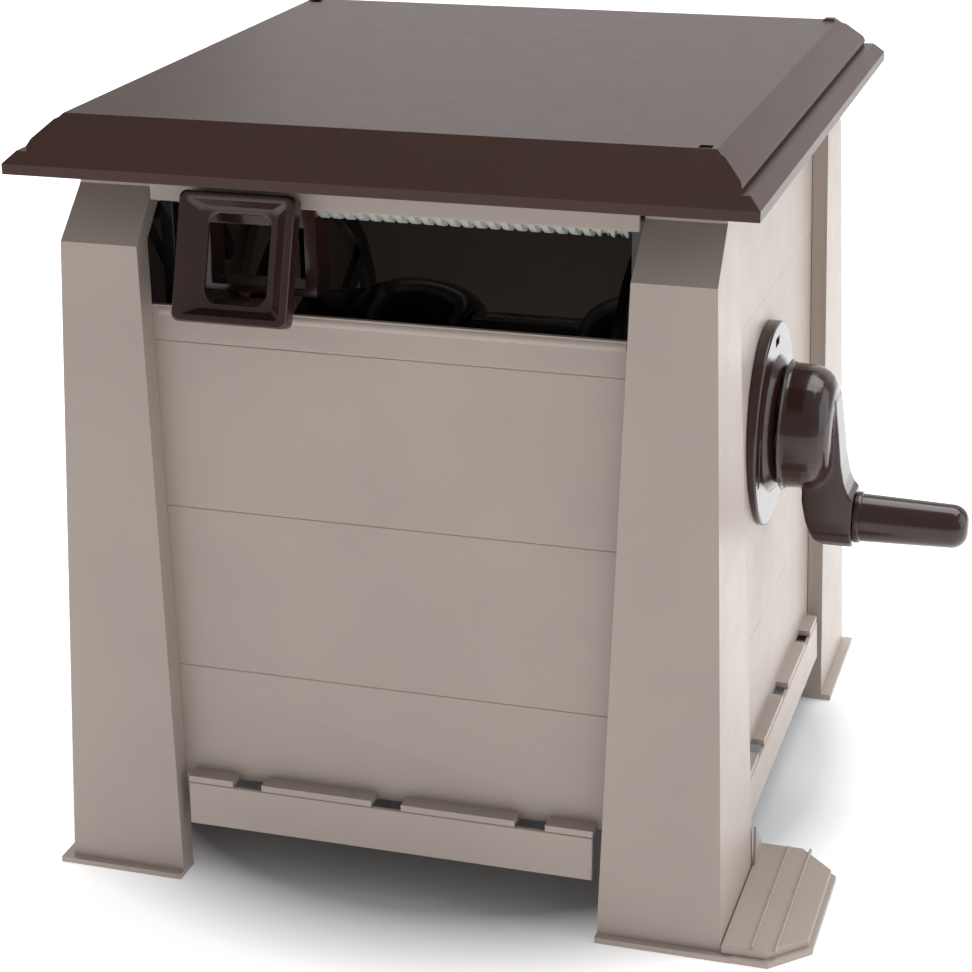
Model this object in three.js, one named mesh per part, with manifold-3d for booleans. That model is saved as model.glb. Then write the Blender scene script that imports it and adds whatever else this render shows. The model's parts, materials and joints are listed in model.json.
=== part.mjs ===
// Garden hose reel cabinet: a square box on four tapered corner posts, with a hinged lid,
// a crank-driven reel inside and a hose guide that travels across the front opening.
// Millimetres, +Z up, front towards -Y, crank side towards +X.
import * as THREE from 'three';
import { mergeVertices } from 'three/addons/utils/BufferGeometryUtils.js';
import Module from 'manifold-3d';

const wasm = await Module();
wasm.setup();

// ---------------------------------------------------------------- driving dimensions
const GAP = 0.4; // clearance between neighbouring pieces
const WALL = 4; // wall of the moulded panels and posts

const LID = { halfX: 300, halfY: 310.6, rimLow: 609, rimHigh: 617.4, top: 652.6, bead: 2.4, wall: 3.6 };

// The posts lean inwards: a dimension is its value at the floor plus a change per mm of height.
const POST = {
  outX: { base: 286.5, rise: -0.0372 },
  outY: { base: 311.1, rise: -0.0429 },
  frontInX: { base: 183, rise: 0.031 },
  sideInY: { base: 176, rise: 0.06 },
  bevelLow: 551.3,
  bevelHigh: 590.3,
  top: 604,
};
const PANEL = { frontRecess: 21, sideRecess: 14.5, frontTop: 499, rearTop: 545, sideTop: 598 };
const PANEL_HALF = { x: 224, y: 234 }; // the panels end behind the posts
const CURL = { radius: 5, halfX: 193 }; // rounded bead along a panel's top edge
const GROOVES = { heights: [188, 329, 470], width: 1.8, depth: 0.7 };
const SKIRT = { low: 49, high: 87, setBack: 5, sideProud: 2.5, halfFront: 177, halfSide: 168 };
const LEDGE = { low: SKIRT.high + GAP, high: 93, slotAt: 0.7, slotWidth: 26 }; // caps the skirt
const FOOT = { x: 295.5, y: 318, height: 5 };
const STEP = {
  outX: 357,
  rearY: -138,
  cut: 31,
  taper: 0.6,
  height: 13,
  edge: 6,
  inset: 4,
  ribs: [312, 331],
};
const WEB = { x: 287.4, thickness: 2.4, frontY: -181, top: 50 }; // upright fin behind the post

const RAIL = { y: 258.5, low: 582, high: 600, halfX: 199.5, shelf: 40 };
const AXIS = { y: -28, z: 358 }; // reel and crank axis, along X
const DRUM = { radius: 74.5, bore: 12.4, wall: 4 };
const SLEEVE = { from: -4, to: 94, radius: 76.7 };
const HUB = { radius: 102, arc: 54, wall: 6, neck: 84, leftInner: -6, rightInner: 96, outer: 160 };
const FLANGE = { radius: 172, rim: 20, thickness: 7, spokes: 6, spokeHalf: 9, turn: 0.05 };
const AXLE = { radius: 12, left: -246, right: 300 };

const PLATE = { radius: 88.5, rear: 245, face: 266.6, boss: 60, bossHeight: 8 };
const CRANK = {
  flange: 57,
  cap: 54,
  base: 277,
  dome: 320,
  round: 22,
  arm: 79,
  armHalf: 18,
  endHalf: 22,
  endDrop: 27.5,
};
const GRIP = { start: 339, end: 436, rootRadius: 22.5, tipRadius: 18.5, pin: 6 };

const SCREW = { y: -226, z: 577.7, radius: 9.4, journal: 5, threadHalf: 185, half: 226 };
const BRACKET = { inner: 189, outer: 199.6, frontY: -240, rearY: -212, low: 482, high: 593 };
const GUIDE = {
  x: -117.5,
  y: -290.5,
  z: 548,
  width: 97.5,
  height: 103,
  tilt: 18,
  holeWidth: 52,
  holeHeight: 70,
  depth: 13,
};
const CARRIAGE = { width: 100, low: 505.4, wall: 10, windowLow: 512, windowHigh: 562 };
const DRIVE = { x: -216, width: 10, reelRadius: 40, screwRadius: 16, belt: 2.4 };
const HINGE = { y: 276, z: 606, pin: 3, barrel: 6.8, x: 120, length: 26 };

// The grip reaches further out than the lid, so everything moves left until the overall box is centred.
const SHIFT_X = -(GRIP.end - LID.halfX) / 2;

// ---------------------------------------------------------------- finishes
const finish = (color, roughness, metalness = 0) =>
  new THREE.MeshStandardMaterial({ color, roughness, metalness });
const TAN = finish(0xb3a79c, 0.55);
const BROWN = finish(0x3c2a25, 0.3);
const BLACK = finish(0x17181a, 0.35);
const GREY = finish(0xb9bbb2, 0.4);
const LABEL = finish(0x1b1d1c, 0.6);
const STEEL = finish(0x9a9c9f, 0.35, 1);
const BRASS = finish(0xb08d4a, 0.35, 1);
const RUBBER = finish(0x202020, 0.85);

// ---------------------------------------------------------------- solid helpers
const lean = (side, z) => side.base + side.rise * z;

function toSolid(geometry) {
  const bare = geometry.clone();
  bare.deleteAttribute('normal');
  bare.deleteAttribute('uv');
  const merged = mergeVertices(bare, 1e-4);
  const vertProperties = new Float32Array(merged.attributes.position.array);
  const triVerts = new Uint32Array(merged.index.array);
  return new wasm.Manifold(new wasm.Mesh({ numProp: 3, vertProperties, triVerts }));
}

function toGeometry(solid) {
  const mesh = solid.getMesh();
  const geometry = new THREE.BufferGeometry();
  geometry.setAttribute('position', new THREE.BufferAttribute(new Float32Array(mesh.vertProperties), 3));
  geometry.setIndex(new THREE.BufferAttribute(new Uint32Array(mesh.triVerts), 1));
  return geometry;
}

function join(first, ...others) {
  return toGeometry(others.reduce((solid, other) => solid.add(toSolid(other)), toSolid(first)));
}

function cut(first, ...others) {
  return toGeometry(others.reduce((solid, other) => solid.subtract(toSolid(other)), toSolid(first)));
}

function common(first, second) {
  return toGeometry(toSolid(first).intersect(toSolid(second)));
}

function box(x0, x1, y0, y1, z0, z1) {
  const geometry = new THREE.BoxGeometry(x1 - x0, y1 - y0, z1 - z0);
  return geometry.translate((x0 + x1) / 2, (y0 + y1) / 2, (z0 + z1) / 2);
}

// A cylinder along X from x0 to x1, about the line y, z.
function rodX(radius, x0, x1, y, z, sides = 24, endRadius = radius) {
  const geometry = new THREE.CylinderGeometry(endRadius, radius, x1 - x0, sides);
  return geometry.rotateZ(-Math.PI / 2).translate((x0 + x1) / 2, y, z);
}

// A solid of revolution about the X line through y, z; the profile is a list of [radius, x].
function turnX(profile, y, z, sides = 36) {
  const points = profile.map(([radius, x]) => new THREE.Vector2(radius, x));
  return new THREE.LatheGeometry(points, sides).rotateZ(-Math.PI / 2).translate(0, y, z);
}

// The same about a vertical line at the origin; the profile is a list of [radius, z].
function turnZ(profile, sides = 24) {
  const points = profile.map(([radius, z]) => new THREE.Vector2(radius, z));
  return facingOut(new THREE.LatheGeometry(points, sides).rotateX(Math.PI / 2));
}

function shapeOf(points) {
  return new THREE.Shape(points.map(([a, b]) => new THREE.Vector2(a, b)));
}

// An outline in the XY plane pulled up from z0 to z1.
function pullZ(points, z0, z1) {
  const options = { depth: z1 - z0, bevelEnabled: false };
  return new THREE.ExtrudeGeometry(shapeOf(points), options).translate(0, 0, z0);
}

// An outline of [y, z] points pulled along X from x0 to x1.
function pullX(points, x0, x1) {
  const geometry = new THREE.ExtrudeGeometry(shapeOf(points), { depth: x1 - x0, bevelEnabled: false });
  return geometry.rotateX(Math.PI / 2).rotateZ(Math.PI / 2).translate(x0, 0, 0);
}

// An outline of [x, z] points pulled along Y from y0 to y1.
function pullY(points, y0, y1) {
  const geometry = new THREE.ExtrudeGeometry(shapeOf(points), { depth: y1 - y0, bevelEnabled: false });
  return geometry.rotateX(Math.PI / 2).translate(0, y1, 0);
}

// Joins equal loops of [x, y, z] points into a closed skin; a ring joins the last loop to the first.
function loft(loops, ring = false) {
  const count = loops[0].length;
  const positions = loops.flat(2);
  const index = [];
  const spans = ring ? loops.length : loops.length - 1;
  for (let i = 0; i < spans; i++) {
    const low = i * count;
    const high = ((i + 1) % loops.length) * count;
    for (let j = 0; j < count; j++) {
      const k = (j + 1) % count;
      index.push(low + j, low + k, high + k, low + j, high + k, high + j);
    }
  }
  if (!ring) {
    const flat = (loop) =>
      THREE.ShapeUtils.triangulateShape(loop.map(([x, y]) => new THREE.Vector2(x, y)), []);
    const last = (loops.length - 1) * count;
    for (const [a, b, c] of flat(loops[0])) index.push(c, b, a);
    for (const [a, b, c] of flat(loops[loops.length - 1])) index.push(last + a, last + b, last + c);
  }
  const geometry = new THREE.BufferGeometry();
  geometry.setAttribute('position', new THREE.BufferAttribute(new Float32Array(positions), 3));
  geometry.setIndex(index);
  return geometry;
}

// A mirrored copy, with its triangles turned over so that they still face out.
function mirrored(geometry, sx, sy) {
  const copy = geometry.clone();
  copy.deleteAttribute('normal');
  copy.deleteAttribute('uv');
  copy.scale(sx, sy, 1);
  if (sx * sy > 0) return copy;
  const whole = copy.index ? copy : mergeVertices(copy, 1e-4);
  const index = whole.index.array;
  for (let i = 0; i < index.length; i += 3) [index[i + 1], index[i + 2]] = [index[i + 2], index[i + 1]];
  return whole;
}

const part = new THREE.Group();
part.name = 'hose_reel_cabinet';

function add(name, geometry, material, parent = part) {
  const mesh = new THREE.Mesh(geometry, material);
  mesh.name = name;
  parent.add(mesh);
  return mesh;
}

// ---------------------------------------------------------------- corner posts
function postOutline(z) {
  const bevel = THREE.MathUtils.clamp(z - POST.bevelLow, 0, POST.bevelHigh - POST.bevelLow);
  const xo = lean(POST.outX, z);
  const yo = lean(POST.outY, Math.min(z, POST.bevelLow)) - bevel;
  const xi = lean(POST.frontInX, z);
  const yi = lean(POST.sideInY, z);
  const xr = xo - PANEL.sideRecess + GAP;
  const yr = yo - PANEL.frontRecess + GAP;
  return [
    [xi, yo, z],
    [xi, yr, z],
    [xi + WALL, yr, z],
    [xi + WALL, yo - WALL, z],
    [xo - WALL, yo - WALL, z],
    [xo - WALL, yi + WALL, z],
    [xr, yi + WALL, z],
    [xr, yi, z],
    [xo, yi, z],
    [xo, yo, z],
  ];
}

// An L-shaped plate under the post's two walls, standing a little proud of them.
function footPlate() {
  const xi = lean(POST.frontInX, 0);
  const yi = lean(POST.sideInY, 0);
  const outline = [
    [xi, FOOT.y],
    [xi, FOOT.y - PANEL.frontRecess],
    [FOOT.x - PANEL.frontRecess, FOOT.y - PANEL.frontRecess],
    [FOOT.x - PANEL.frontRecess, yi],
    [FOOT.x, yi],
    [FOOT.x, FOOT.y],
  ];
  return pullZ(outline.reverse(), 0, FOOT.height);
}

function postGeometry() {
  const heights = [0, POST.bevelLow, POST.bevelHigh, POST.top];
  return join(loft(heights.map(postOutline)), footPlate());
}

const post = postGeometry();
for (const [name, sx, sy] of [
  ['post_rear_right', 1, 1],
  ['post_rear_left', -1, 1],
  ['post_front_right', 1, -1],
  ['post_front_left', -1, -1],
]) {
  add(name, mirrored(post, sx, sy), TAN);
}

// The foot rest beside the crank: a thick plate with cut corners, a stepped edge, two ribs and a web.
// Its upper layer reaches over the post's foot to the post itself.
function stepGeometry() {
  const y0 = -FOOT.y;
  const outline = (x0, inset) => [
    [x0, y0 + inset],
    [STEP.outX - STEP.cut - inset * STEP.taper, y0 + inset],
    [STEP.outX - inset, y0 + STEP.cut + inset * STEP.taper],
    [STEP.outX - inset, STEP.rearY - STEP.cut - inset * STEP.taper],
    [STEP.outX - STEP.cut - inset * STEP.taper, STEP.rearY - inset],
    [x0, STEP.rearY - inset],
  ];
  const base = pullZ(outline(FOOT.x + GAP, 0), 0, STEP.edge);
  const upper = pullZ(outline(lean(POST.outX, 0) + GAP, STEP.inset), FOOT.height + GAP, STEP.height);
  const ribStart = y0 + STEP.inset + 2;
  const ribEnd = STEP.rearY - STEP.inset - 2;
  const ribs = STEP.ribs.map((x) =>
    box(x - 1.2, x + 1.2, ribStart, ribEnd, STEP.height - 1, STEP.height + 2),
  );
  const webOutline = [
    [WEB.frontY, STEP.height - 1],
    [STEP.rearY - STEP.inset - 1, STEP.height - 1],
    [WEB.frontY, WEB.top],
  ];
  const web = pullX(webOutline, WEB.x, WEB.x + WEB.thickness);
  return join(base, upper, web, ...ribs);
}
add('step_plate', stepGeometry(), TAN);

// ---------------------------------------------------------------- panels and skirts
// Section of a leaning panel as [distance from centre, height], outer face first, with its grooves.
function panelSection(face, low, top) {
  const outer = [[face(low), low]];
  for (const z of GROOVES.heights) {
    outer.push([face(z), z - GROOVES.width / 2]);
    outer.push([face(z) - GROOVES.depth, z]);
    outer.push([face(z), z + GROOVES.width / 2]);
  }
  outer.push([face(top), top]);
  return [...outer, [face(top) - WALL, top], [face(low) - WALL, low]];
}

const frontFace = (z) => lean(POST.outY, z) - PANEL.frontRecess;
const sideFace = (z) => lean(POST.outX, z) - PANEL.sideRecess;

// A ledge along a panel's foot that caps the skirt, in four pieces with three open slots between them.
function ledgePieces(half, from, to) {
  const slots = [-1, 0, 1].map((k) => k * LEDGE.slotAt * half);
  const starts = [-half, ...slots.map((x) => x + LEDGE.slotWidth / 2)];
  const ends = [...slots.map((x) => x - LEDGE.slotWidth / 2), half];
  return starts.map((x, i) => box(x, ends[i], from, to, LEDGE.low, LEDGE.high));
}

function frontPanelGeometry(top) {
  const plate = pullX(panelSection(frontFace, LEDGE.low, top), -PANEL_HALF.x, PANEL_HALF.x);
  const foot = frontFace(LEDGE.low);
  const ledge = ledgePieces(SKIRT.halfFront, foot - WALL, foot + PANEL.frontRecess - SKIRT.setBack - 0.6);
  const curl = rodX(CURL.radius, -CURL.halfX, CURL.halfX, frontFace(top) - 3.4, top - CURL.radius, 16);
  return join(plate, ...ledge, curl);
}

add('rear_panel', frontPanelGeometry(PANEL.rearTop), TAN);
add('front_panel', mirrored(frontPanelGeometry(PANEL.frontTop), 1, -1), TAN);

function sidePanelGeometry() {
  const plate = pullY(panelSection(sideFace, LEDGE.low, PANEL.sideTop), -PANEL_HALF.y, PANEL_HALF.y);
  const reach = PANEL.sideRecess + SKIRT.sideProud - SKIRT.setBack - 0.6;
  const ledge = ledgePieces(SKIRT.halfSide, -WALL, reach).map((piece) =>
    piece.rotateZ(-Math.PI / 2).translate(sideFace(LEDGE.low), 0, 0),
  );
  return join(plate, ...ledge);
}
const sidePanel = sidePanelGeometry();
const plateHole = rodX(PLATE.boss - 6, 230, 290, AXIS.y, AXIS.z, 40);
add('side_panel_right', cut(sidePanel, plateHole), TAN);
const inletHole = rodX(22, -290, -230, AXIS.y, AXIS.z, 24);
add('side_panel_left', cut(mirrored(sidePanel, -1, 1), inletHole), TAN);

// A skirt stands out from its panel and hangs below it.
function skirtGeometry(face, half) {
  const out = (z) => face(z) - SKIRT.setBack;
  const section = [
    [out(SKIRT.low), SKIRT.low],
    [out(SKIRT.high), SKIRT.high],
    [out(SKIRT.high) - WALL, SKIRT.high],
    [out(SKIRT.low) - WALL, SKIRT.low],
  ];
  return pullX(section, -half, half);
}
const skirtFront = skirtGeometry((z) => lean(POST.outY, z), SKIRT.halfFront);
const skirtSide = skirtGeometry((z) => lean(POST.outX, z) + SKIRT.sideProud, SKIRT.halfSide);
skirtSide.rotateZ(-Math.PI / 2);
add('skirt_rear', skirtFront, TAN);
add('skirt_front', mirrored(skirtFront, 1, -1), TAN);
add('skirt_right', skirtSide, TAN);
add('skirt_left', mirrored(skirtSide, -1, 1), TAN);

// ---------------------------------------------------------------- top rails
function railGeometry(low) {
  const section = [
    [RAIL.y, low],
    [RAIL.y, RAIL.high],
    [RAIL.y - RAIL.shelf, RAIL.high],
    [RAIL.y - RAIL.shelf, RAIL.high - WALL],
    [RAIL.y - WALL, RAIL.high - WALL],
    [RAIL.y - WALL, low],
  ];
  return pullX(section, -RAIL.halfX, RAIL.halfX);
}
add('top_rail_rear', railGeometry(PANEL.rearTop + 2), TAN);
add('top_rail_front', mirrored(railGeometry(RAIL.low), 1, -1), TAN);

// ---------------------------------------------------------------- lid
// Half of the lid's moulded edge as [distance out from the centre, height], from the rim up to the
// flat top.
function lidEdge(half) {
  return [
    [half, LID.rimLow],
    [half, LID.rimHigh],
    [half - 9.2, 626.4],
    [half - 17.8, 626.2],
    [half - 16.2, 630],
    [half - 18.2, 634.6],
    [half - 32.5, 648],
    [half - 36, 649.6],
    [half - 42, LID.top + LID.bead],
    [half - 50, LID.top + LID.bead],
    [half - 52, LID.top],
  ];
}

// Inner face of the shell: three slopes that stay a wall's thickness inside the moulded edge.
function lidHollow(half) {
  const out = half - LID.wall;
  return [
    [out, LID.rimLow - 20],
    [out, LID.rimHigh - 2.4],
    [half - 21, 621.5],
    [half - 46, LID.top - LID.wall],
  ];
}

const mirrorPairs = (edge) => [...edge, ...edge.map(([a, z]) => [-a, z]).reverse()];

function lidGeometry() {
  const front = [
    [-LID.halfY, LID.rimLow],
    [-LID.halfY, LID.rimHigh],
    [-LID.halfY + (LID.top - LID.rimHigh), LID.top],
  ].reverse();
  const alongY = pullY(mirrorPairs(lidEdge(LID.halfX)), -LID.halfY, LID.halfY);
  const alongX = pullX([...lidEdge(LID.halfY), ...front], -LID.halfX, LID.halfX);
  const frontHollow = [
    [-LID.halfY + LID.wall, LID.rimLow - 20],
    [-LID.halfY + LID.wall, LID.rimHigh - 1.6],
    [-LID.halfY + LID.top - LID.rimHigh + 1.4, LID.top - LID.wall],
  ].reverse();
  const hollowY = pullY(mirrorPairs(lidHollow(LID.halfX)), -LID.halfY - 5, LID.halfY + 5);
  const hollowX = pullX([...lidHollow(LID.halfY), ...frontHollow], -LID.halfX - 5, LID.halfX + 5);
  const shell = cut(common(alongY, alongX), common(hollowY, hollowX));
  const bosses = [-1, 1].flatMap((sx) =>
    [-1, 1].map((sy) => mirrored(box(216, 246, 210, 236, POST.top + GAP, LID.top - 2), sx, sy)),
  );
  // Rain drains from the top through a small notch in the bead at two opposite corners.
  const [notchX, notchY] = [LID.halfX - 53, LID.halfY - 53];
  const notches = [
    box(notchX - 1, notchX + 9, -LID.halfY + 36, -LID.halfY + 46, LID.top - 1.6, LID.top + 5),
    box(-notchX - 9, -notchX + 1, notchY - 6, notchY + 4, LID.top - 1.6, LID.top + 5),
  ];
  return cut(join(shell, ...bosses), ...notches);
}
const lid = new THREE.Group();
part.add(lid);
add('lid_shell', lidGeometry(), BROWN, lid);

// Hinges: a barrel on the lid between two cabinet ears, on one pin.
function knuckleGeometry() {
  const x = HINGE.length / 2;
  const web = pullX(
    [
      [HINGE.y - 6, HINGE.z],
      [HINGE.y - 6, 638],
      [HINGE.y + 5, 627.6],
      [HINGE.y + 5, HINGE.z],
    ].reverse(),
    -x,
    x,
  );
  const barrel = rodX(HINGE.barrel, -x, x, HINGE.y, HINGE.z, 20);
  return cut(join(web, barrel), rodX(HINGE.pin + 0.1, -x - 1, x + 1, HINGE.y, HINGE.z, 20));
}

function earsGeometry() {
  const inner = HINGE.length / 2 + GAP;
  const outline = [
    [RAIL.y + GAP, 572],
    [HINGE.y - 2, 592],
    [HINGE.y + 5, HINGE.z - 2],
    [HINGE.y, HINGE.z + 5.5],
    [HINGE.y - 5.5, HINGE.z + 3],
    [RAIL.y + GAP, 596],
  ];
  const ear = pullX(outline, inner, inner + 5);
  const back = box(-inner - 5, inner + 5, RAIL.y + GAP, RAIL.y + GAP + 3, 560, 590);
  const bore = rodX(HINGE.pin + 0.1, -40, 40, HINGE.y, HINGE.z, 20);
  return cut(join(back, ear, mirrored(ear, -1, 1)), bore);
}

for (const [side, x] of [['left', -HINGE.x], ['right', HINGE.x]]) {
  add(`lid_knuckle_${side}`, knuckleGeometry().translate(x, 0, 0), BROWN, lid);
  add(`hinge_bracket_${side}`, earsGeometry().translate(x, 0, 0), TAN);
  const half = HINGE.length / 2 + 8;
  add(`hinge_pin_${side}`, rodX(HINGE.pin, x - half, x + half, HINGE.y, HINGE.z, 16), STEEL);
}

// ---------------------------------------------------------------- reel
const reel = new THREE.Group();
part.add(reel);

function drumGeometry() {
  const { radius, bore } = DRUM;
  const end = HUB.leftInner - 20;
  const profile = [
    [radius, end],
    [radius, HUB.rightInner + 14],
    [radius - DRUM.wall, HUB.rightInner + 14],
    [radius - DRUM.wall, 60],
    [bore + 5, 50],
    [bore + 5, 30],
    [bore, 30],
    [bore, -30 + end / 2],
    [bore + 5, -30 + end / 2],
    [radius - DRUM.wall, end + 8],
    [radius - DRUM.wall, end],
  ];
  return turnX([...profile, profile[0]], AXIS.y, AXIS.z, 40);
}
add('reel_drum', drumGeometry(), BLACK, reel);
const sleeveProfile = [
  [DRUM.radius + GAP, SLEEVE.from],
  [SLEEVE.radius, SLEEVE.from],
  [SLEEVE.radius, SLEEVE.to],
  [DRUM.radius + GAP, SLEEVE.to],
  [DRUM.radius + GAP, SLEEVE.from],
];

// A flange: a bulging hub that closes on the drum, six flat spokes and a rim. The hub's section
// swells by an elliptical arc, which a longer sweep brings back in towards the spokes.
function flangeGeometry(inner, outer, sweep) {
  const out = Math.sign(outer - inner);
  const root = DRUM.radius + 3;
  const steps = Math.round(sweep / 15);
  const bulge = Array.from({ length: steps + 1 }, (_, i) => {
    const angle = THREE.MathUtils.degToRad((i / steps) * sweep);
    return [root + (HUB.radius - root) * Math.sin(angle), inner + out * HUB.arc * (1 - Math.cos(angle))];
  });
  const neck = sweep > 90 ? HUB.neck : HUB.radius;
  const inside = bulge.slice(3).map(([radius, x]) => [radius - HUB.wall, x]).reverse();
  const shell = [
    ...bulge,
    [neck, outer],
    [neck - HUB.wall, outer],
    ...inside,
    [DRUM.radius + GAP, inner + out * 24],
    [DRUM.radius + GAP, inner],
  ];
  const hub = turnX([...shell, shell[0]], AXIS.y, AXIS.z, 40);
  const face = outer - out * FLANGE.thickness;
  const ring = turnX(
    [
      [FLANGE.radius - FLANGE.rim, face],
      [FLANGE.radius, face],
      [FLANGE.radius, outer + out * 3],
      [FLANGE.radius - FLANGE.rim, outer + out * 3],
      [FLANGE.radius - FLANGE.rim, face],
    ],
    AXIS.y,
    AXIS.z,
    48,
  );
  const collar = turnX(
    [
      [AXLE.radius + GAP, outer - out * 16],
      [24, outer - out * 16],
      [24, outer],
      [AXLE.radius + GAP, outer],
      [AXLE.radius + GAP, outer - out * 16],
    ],
    AXIS.y,
    AXIS.z,
    32,
  );
  const low = Math.min(face, outer);
  const spokes = Array.from({ length: FLANGE.spokes }, (_, i) => {
    const { thickness, spokeHalf, radius, turn } = FLANGE;
    const bar = box(low, low + thickness, -spokeHalf, spokeHalf, 18, radius - 3);
    return bar.rotateX(((i + turn) * Math.PI * 2) / FLANGE.spokes).translate(0, AXIS.y, AXIS.z);
  });
  return join(facingOut(hub), facingOut(ring), facingOut(collar), ...spokes);
}

// A lathe turned inside out by its profile's direction is turned back.
function facingOut(geometry) {
  const bare = geometry.clone();
  bare.deleteAttribute('normal');
  bare.deleteAttribute('uv');
  const merged = mergeVertices(bare, 1e-4);
  const points = merged.attributes.position;
  const index = merged.index.array;
  const corner = (i) => new THREE.Vector3().fromBufferAttribute(points, index[i]);
  let volume = 0;
  for (let i = 0; i < index.length; i += 3) volume += corner(i).dot(corner(i + 1).cross(corner(i + 2)));
  if (volume > 0) return merged;
  for (let i = 0; i < index.length; i += 3) [index[i + 1], index[i + 2]] = [index[i + 2], index[i + 1]];
  return merged;
}

add('reel_flange_left', flangeGeometry(HUB.leftInner, -HUB.outer, 150), BLACK, reel);
add('reel_flange_right', flangeGeometry(HUB.rightInner, HUB.outer, 90), BLACK, reel);
add('reel_axle', rodX(AXLE.radius, AXLE.left, AXLE.right, AXIS.y, AXIS.z, 24), STEEL, reel);

// The hose leaves the drum through a stub on its underside.
const outletHole = new THREE.CylinderGeometry(11, 11, 40, 20).rotateX(Math.PI / 2);
outletHole.translate(80, AXIS.y, AXIS.z - 74);
const outletStub = turnZ(
  [
    [6, -DRUM.radius - 22],
    [9.5, -DRUM.radius - 22],
    [9.5, -DRUM.radius - 1.5],
    [6, -DRUM.radius - 1.5],
    [6, -DRUM.radius - 22],
  ],
  20,
).translate(80, AXIS.y, AXIS.z);
add('drum_sleeve', cut(turnX(sleeveProfile, AXIS.y, AXIS.z, 40), outletHole), LABEL, reel);
add('hose_outlet', outletStub, BRASS, reel);

// ---------------------------------------------------------------- axle bearings and water inlet
function bearingPlateGeometry() {
  const { radius, face, boss, bossHeight } = PLATE;
  const disc = turnX(
    [
      [0, PLATE.rear],
      [radius, PLATE.rear],
      [radius, face - 1.5],
      [radius - 1.5, face],
      [boss, face],
      [boss - 9, face + bossHeight],
      [0, face + bossHeight],
    ],
    AXIS.y,
    AXIS.z,
    48,
  );
  const behind = (z) => sideFace(z) + GAP;
  const wedge = pullY(
    [
      [200, 240],
      [behind(240), 240],
      [behind(480), 480],
      [200, 480],
    ],
    -150,
    120,
  );
  const bore = rodX(AXLE.radius + GAP, 200, 300, AXIS.y, AXIS.z, 24);
  const topSlot = box(240, 280, AXIS.y - 8, AXIS.y + 8, AXIS.z + 70, AXIS.z + 77);
  const sideSlot = box(240, 280, AXIS.y - 73, AXIS.y - 67, AXIS.z - 34, AXIS.z + 8);
  return cut(disc, wedge, bore, topSlot, sideSlot);
}
add('bearing_plate', bearingPlateGeometry(), BROWN);

// Inside the left wall: a ring round the axle's end on two crossed straps.
function leftBearingGeometry() {
  const x = [-246.4, -238.4];
  const ring = rodX(32, ...x, AXIS.y, AXIS.z, 32);
  const straps = [-38, 38, 142, 218].map((degrees) => {
    const strap = box(x[0], x[1], -10, 10, 0, 150);
    return strap.rotateX(THREE.MathUtils.degToRad(degrees)).translate(0, AXIS.y, AXIS.z);
  });
  return cut(join(ring, ...straps), rodX(AXLE.radius + GAP, -260, -230, AXIS.y, AXIS.z, 24));
}
add('axle_bearing_left', leftBearingGeometry(), TAN);

// The water inlet: an elbow that leaves the left wall on the axle's line and turns down.
const ELBOW_X = -281;
function inletGeometry() {
  const across = rodX(13, ELBOW_X, -246.8, AXIS.y, AXIS.z, 20);
  const knee = new THREE.SphereGeometry(13, 20, 12).rotateX(Math.PI / 2).translate(ELBOW_X, AXIS.y, AXIS.z);
  const down = new THREE.CylinderGeometry(13, 13, 30, 20).rotateX(Math.PI / 2);
  const body = join(across, knee, down.translate(ELBOW_X, AXIS.y, AXIS.z - 15));
  const boreAcross = rodX(7, ELBOW_X, -230, AXIS.y, AXIS.z, 16);
  const boreDown = new THREE.CylinderGeometry(7, 7, 60, 16).rotateX(Math.PI / 2);
  return cut(body, join(boreAcross, boreDown.translate(ELBOW_X, AXIS.y, AXIS.z - 26)));
}
add('inlet_elbow', inletGeometry(), BLACK);
const couplingProfile = [
  [9, -56],
  [17, -56],
  [18, -54],
  [18, -34],
  [16, -30 - GAP],
  [9, -30 - GAP],
  [9, -56],
];
add('inlet_coupling', turnZ(couplingProfile, 24).translate(ELBOW_X, AXIS.y, AXIS.z), BRASS);

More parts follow.
